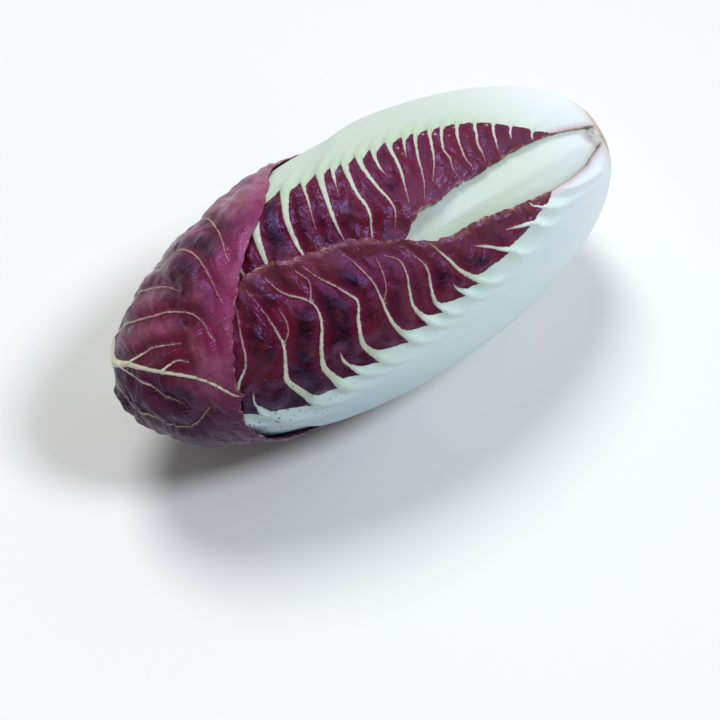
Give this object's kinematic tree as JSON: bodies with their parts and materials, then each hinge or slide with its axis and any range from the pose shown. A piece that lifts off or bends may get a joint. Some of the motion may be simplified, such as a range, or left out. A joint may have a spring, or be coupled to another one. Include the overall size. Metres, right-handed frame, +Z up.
{
  "type": "treviso radicchio head",
  "caption": "Long closed radicchio head lying on its side, with overlapping wine-red leaves on thick white ribs round a cut stem.",
  "frame": {"origin": "middle of the flat spot that the head lies on, halfway along it", "axes": "+Z up, +X along the head towards the cut stem, -X towards the tip, -Y towards the side that the picture shows low"},
  "size_m": [0.1948, 0.0922, 0.0897],
  "materials": {
    "outer_leaf": "satin wine-red blade with a smooth white rib and pale side veins",
    "pale_leaf": "satin pale green and cream rib with a wine-red blade",
    "inner_leaf": "satin paler wine-red blade with a cream rib",
    "heart": "satin cream-yellow young leaves",
    "stem_flesh": "matt cut cream flesh, browned at the rim"
  },
  "bodies": {
    "root": {"outer_leaf_hood": "outer_leaf", "outer_leaf_lower": "outer_leaf", "outer_leaf_upper": "outer_leaf", "front_leaf": "pale_leaf", "inner_leaf_1": "inner_leaf", "inner_leaf_2": "inner_leaf", "inner_leaf_3": "inner_leaf", "inner_leaf_4": "inner_leaf", "inner_leaf_5": "inner_leaf", "inner_leaf_6": "inner_leaf", "heart_bud": "heart", "stem": "stem_flesh"}
  },
  "joints": []
}
